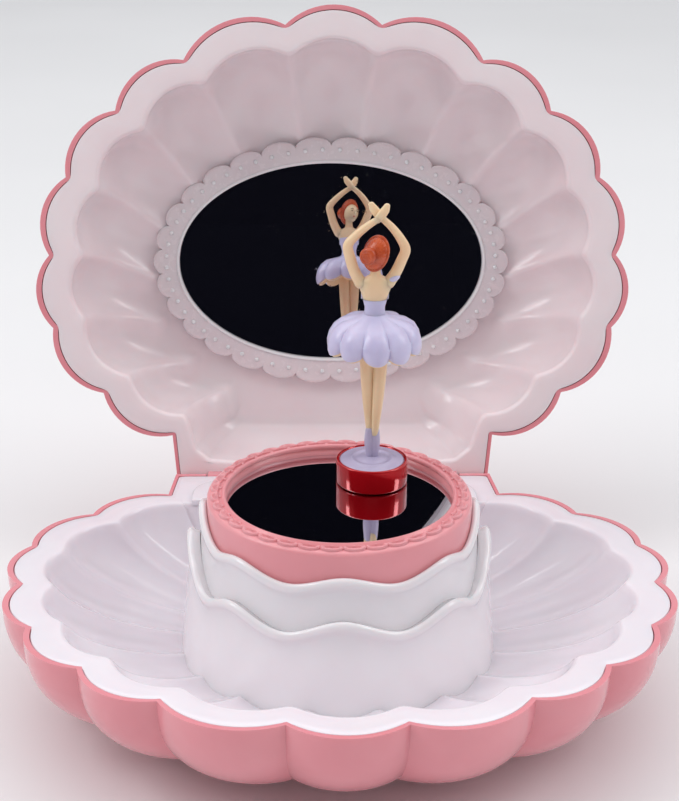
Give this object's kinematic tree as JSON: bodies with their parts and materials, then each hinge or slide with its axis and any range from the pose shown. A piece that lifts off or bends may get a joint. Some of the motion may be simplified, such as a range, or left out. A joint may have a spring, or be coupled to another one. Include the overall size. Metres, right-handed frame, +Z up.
{
  "type": "wind-up music box",
  "caption": "Scallop shell music box with a hinged mirrored lid, a tiered round stage and a magnetic dancer turned by a wind-up comb movement.",
  "frame": {"origin": "middle of the bounding box with the lid open, on the surface that the feet stand on", "axes": "+X the box's right, +Y its back where the lid is hinged, +Z up"},
  "size_m": [0.1574, 0.1772, 0.1496],
  "materials": {
    "pink_shell": "glossy injection-moulded pink",
    "pink_satin": "satin moulded pink",
    "stage_pink": "semi-gloss moulded pink",
    "white_tray": "glossy lavender-white",
    "white_tier": "glossy white",
    "lid_liner": "glossy translucent pinkish white",
    "frame_white": "translucent white",
    "mirror_glass": "silvered",
    "movement_brass": "stamped",
    "comb_steel": "ground spring steel",
    "screw_steel": "plated",
    "key_nickel": "nickel plate",
    "white_nylon": "natural nylon",
    "magnet_black": "ferrite",
    "foot_rubber": "soft black",
    "cup_red": "metallic red gloss",
    "lavender_plate": "painted lavender",
    "lavender_tutu": "moulded lavender",
    "skin": "painted peach",
    "hair_orange": "painted orange-brown"
  },
  "bodies": {
    "base": {"base_shell": "pink_shell", "base_tray": "white_tray", "bottom_cover": "pink_satin", "cover_screws": "screw_steel", "rubber_feet": "foot_rubber", "hinge_pin": "screw_steel", "lower_tier": "white_tier", "upper_tier": "white_tier", "stage_ring": "stage_pink", "mirror_deck": "white_tier", "stage_mirror": "mirror_glass", "bedplate": "movement_brass", "standoffs": "movement_brass", "bearing_brackets": "movement_brass", "bridge": "movement_brass", "bridge_pillars": "movement_brass", "bridge_screws": "screw_steel", "comb": "comb_steel", "comb_block": "comb_steel", "comb_screws": "screw_steel"},
    "key": {"winding_arbor": "comb_steel", "winding_key": "key_nickel"},
    "barrel": {"spring_barrel": "movement_brass", "mainspring": "comb_steel"},
    "drum": {"tune_cylinder": "movement_brass"},
    "fly": {"governor_fly": "comb_steel"},
    "arm": {"magnet_arm": "white_nylon", "drive_magnet": "magnet_black"},
    "stop": {"stop_rod": "screw_steel"},
    "lid": {"lid_shell": "pink_shell", "lid_liner": "lid_liner", "lid_mirror": "mirror_glass", "lid_mirror_frame": "frame_white"},
    "dancer": {"figure_cup": "cup_red", "figure_magnet": "magnet_black", "figure_plate": "lavender_plate", "figure_legs": "skin", "figure_tutu": "lavender_tutu", "figure_bodice": "lavender_plate", "figure_torso": "skin", "figure_hair": "hair_orange"}
  },
  "joints": [
    {"name": "lid_hinge", "type": "hinge", "parent": "base", "child": "lid", "pos_m": [0, 0.03756, 0.0273], "axis": [1, 0, 0], "range_deg": [0, 102.4]},
    {"name": "winding", "type": "hinge", "parent": "base", "child": "key", "pos_m": [-0.0145, -0.01644, 0], "axis": [0, 0, 1], "range_deg": [0, 1800]},
    {"name": "barrel_spin", "type": "hinge", "parent": "base", "child": "barrel", "pos_m": [-0.0145, -0.01644, 0], "axis": [0, 0, 1], "continuous": true},
    {"name": "cylinder_spin", "type": "hinge", "parent": "base", "child": "drum", "pos_m": [0, -0.01644, 0.03009], "axis": [1, 0, 0], "continuous": true},
    {"name": "governor_spin", "type": "hinge", "parent": "base", "child": "fly", "pos_m": [0, -0.00694, 0.03009], "axis": [1, 0, 0], "continuous": true},
    {"name": "arm_orbit", "type": "hinge", "parent": "base", "child": "arm", "pos_m": [0, -0.01644, 0], "axis": [0, 0, 1], "continuous": true},
    {"name": "figure_stow", "type": "hinge", "parent": "arm", "child": "dancer", "pos_m": [0, -0.04044, -0.023], "axis": [1, 0, 0], "range_deg": [0, 90.1]},
    {"name": "stop_slide", "type": "slide", "parent": "base", "child": "stop", "axis": [0, -1, 0], "range_m": [0, 0.0016]}
  ],
  "couplings": [
    {"joint": "cylinder_spin", "follows": "barrel_spin", "ratio": 2.25},
    {"joint": "governor_spin", "follows": "barrel_spin", "ratio": -4.875},
    {"joint": "arm_orbit", "follows": "barrel_spin", "ratio": -1},
    {"joint": "figure_stow", "follows": "lid_hinge", "ratio": 0.87891},
    {"joint": "stop_slide", "follows": "lid_hinge", "m_per_rad": 0.0008393}
  ]
}
